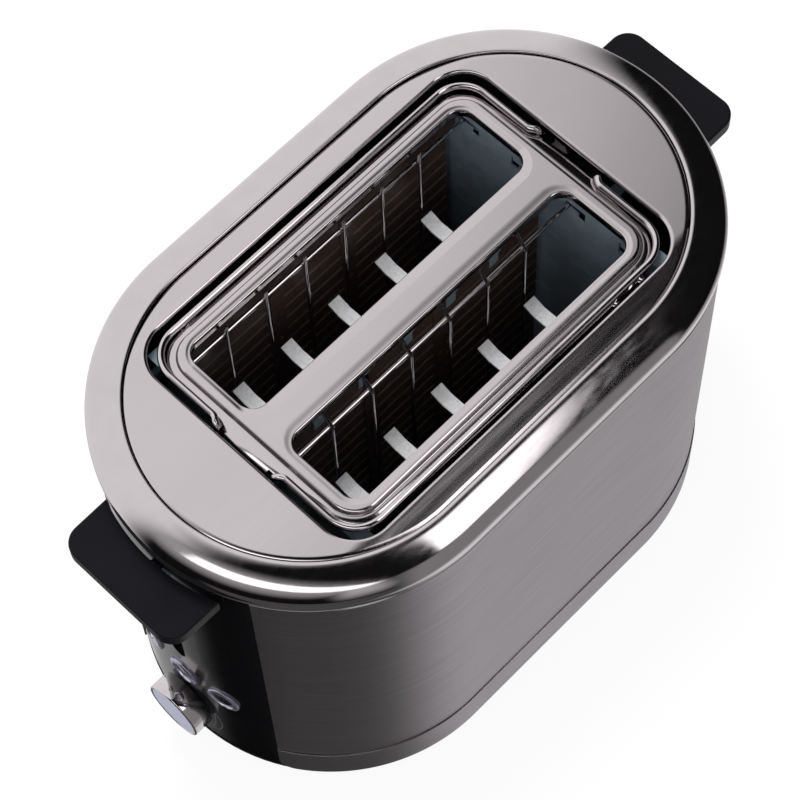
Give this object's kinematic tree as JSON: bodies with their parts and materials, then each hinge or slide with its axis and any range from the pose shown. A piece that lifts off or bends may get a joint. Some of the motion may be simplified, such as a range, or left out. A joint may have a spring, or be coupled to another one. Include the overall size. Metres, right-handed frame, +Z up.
{
  "type": "two-slice toaster",
  "caption": "Long oval two-slice toaster in polished and brushed steel with black end panels, a lever grip, a bun-warming wire rack, a browning dial and push buttons.",
  "frame": {"origin": "on the worktop, under the middle of the body", "axes": "+Z up, X across the bread slots, -Y towards the end with the controls"},
  "size_m": [0.1524, 0.281, 0.18],
  "materials": {
    "polished_steel": "polished stainless steel",
    "satin_steel": "satin stainless steel",
    "brushed_steel": "brushed stainless steel",
    "black_plastic": "fine moulded black",
    "gloss_black": "gloss black",
    "rubber": "moulded",
    "galvanised": "galvanised sheet",
    "spring_steel": "drawn wire",
    "mica": "pressed mica",
    "ribbon": "rolled ribbon",
    "copper": "enamelled wire",
    "circuit": "solder mask",
    "ceramic_white": "glazed",
    "silver_plastic": "metallised"
  },
  "bodies": {
    "body_shell": {"base_plate": "black_plastic", "rubber_feet": "rubber", "chassis_screws": "spring_steel", "side_panel_left": "brushed_steel", "side_panel_right": "brushed_steel", "skirt_left": "brushed_steel", "skirt_right": "brushed_steel", "front_panel": "black_plastic", "rear_panel": "black_plastic", "top_rim": "polished_steel", "top_plate": "satin_steel", "slot_panel": "satin_steel", "rear_handle": "black_plastic", "handle_screws": "spring_steel", "chassis_front": "galvanised", "chassis_rear": "galvanised", "reflector_left": "galvanised", "reflector_right": "galvanised", "heater_board_left": "mica", "heater_board_centre": "mica", "heater_board_right": "mica", "heating_ribbon_left": "ribbon", "heating_ribbon_centre": "ribbon", "heating_ribbon_right": "ribbon", "guide_rod": "spring_steel", "magnet_core": "galvanised", "magnet_coil": "copper", "control_board": "circuit", "board_screws": "spring_steel", "potentiometer": "black_plastic", "button_bezels": "silver_plastic", "button_switches": "black_plastic", "cord_gland": "black_plastic", "terminal_block": "ceramic_white", "return_spring": "spring_steel"},
    "lever_carriage": {"carriage": "galvanised", "bread_rack_left": "galvanised", "bread_rack_right": "galvanised", "lever_grip": "black_plastic", "keeper_plate": "galvanised"},
    "browning_dial": {"browning_knob": "polished_steel", "dial_shaft": "black_plastic"},
    "crumb_tray": {"crumb_tray": "galvanised"},
    "bun_rack": {"bun_wire_left": "spring_steel", "bun_wire_right": "spring_steel", "bun_rack_frame": "galvanised", "bun_rack_knob": "black_plastic"},
    "guard_left_outer": {"guard_left_outer": "spring_steel"},
    "guard_left_inner": {"guard_left_inner": "spring_steel"},
    "guard_right_inner": {"guard_right_inner": "spring_steel"},
    "guard_right_outer": {"guard_right_outer": "spring_steel"},
    "button_left": {"button_left": "gloss_black"},
    "button_middle": {"button_middle": "gloss_black"},
    "button_right": {"button_right": "gloss_black"}
  },
  "joints": [
    {"name": "lever_slide", "type": "slide", "parent": "body_shell", "child": "lever_carriage", "axis": [0, 0, 1], "range_m": [-0.068, 0], "stiffness_N_per_m": 60, "springref_m": 0.06, "deforming": ["return_spring"]},
    {"name": "guard_left_outer_hinge", "type": "hinge", "parent": "body_shell", "child": "guard_left_outer", "pos_m": [-0.0411, 0, 0.056], "axis": [0, 1, 0], "range_deg": [0, 3.14]},
    {"name": "guard_left_inner_hinge", "type": "hinge", "parent": "body_shell", "child": "guard_left_inner", "pos_m": [-0.0099, 0, 0.056], "axis": [0, -1, 0], "range_deg": [0, 3.14]},
    {"name": "guard_right_inner_hinge", "type": "hinge", "parent": "body_shell", "child": "guard_right_inner", "pos_m": [0.0099, 0, 0.056], "axis": [0, 1, 0], "range_deg": [0, 3.14]},
    {"name": "guard_right_outer_hinge", "type": "hinge", "parent": "body_shell", "child": "guard_right_outer", "pos_m": [0.0411, 0, 0.056], "axis": [0, -1, 0], "range_deg": [0, 3.14]},
    {"name": "dial_turn", "type": "hinge", "parent": "body_shell", "child": "browning_dial", "pos_m": [0, -0.1232, 0.0303], "axis": [0, -1, 0], "range_deg": [-135, 135]},
    {"name": "button_left_press", "type": "slide", "parent": "body_shell", "child": "button_left", "axis": [0.2473, 0.9689, 0], "range_m": [0, 0.0012], "stiffness_N_per_m": 300, "springref_m": -0.001},
    {"name": "button_middle_press", "type": "slide", "parent": "body_shell", "child": "button_middle", "axis": [0, 1, 0], "range_m": [0, 0.0012], "stiffness_N_per_m": 300, "springref_m": -0.001},
    {"name": "button_right_press", "type": "slide", "parent": "body_shell", "child": "button_right", "axis": [-0.2473, 0.9689, 0], "range_m": [0, 0.0012], "stiffness_N_per_m": 300, "springref_m": -0.001},
    {"name": "tray_slide", "type": "slide", "parent": "body_shell", "child": "crumb_tray", "axis": [0, 1, 0], "range_m": [0, 0.17]},
    {"name": "bun_rack_lift", "type": "slide", "parent": "body_shell", "child": "bun_rack", "axis": [0, 0, 1], "range_m": [0, 0.027]}
  ],
  "couplings": [
    {"joint": "guard_left_outer_hinge", "follows": "lever_slide", "rad_per_m": -0.8021},
    {"joint": "guard_left_inner_hinge", "follows": "lever_slide", "rad_per_m": -0.8021},
    {"joint": "guard_right_inner_hinge", "follows": "lever_slide", "rad_per_m": -0.8021},
    {"joint": "guard_right_outer_hinge", "follows": "lever_slide", "rad_per_m": -0.8021}
  ]
}
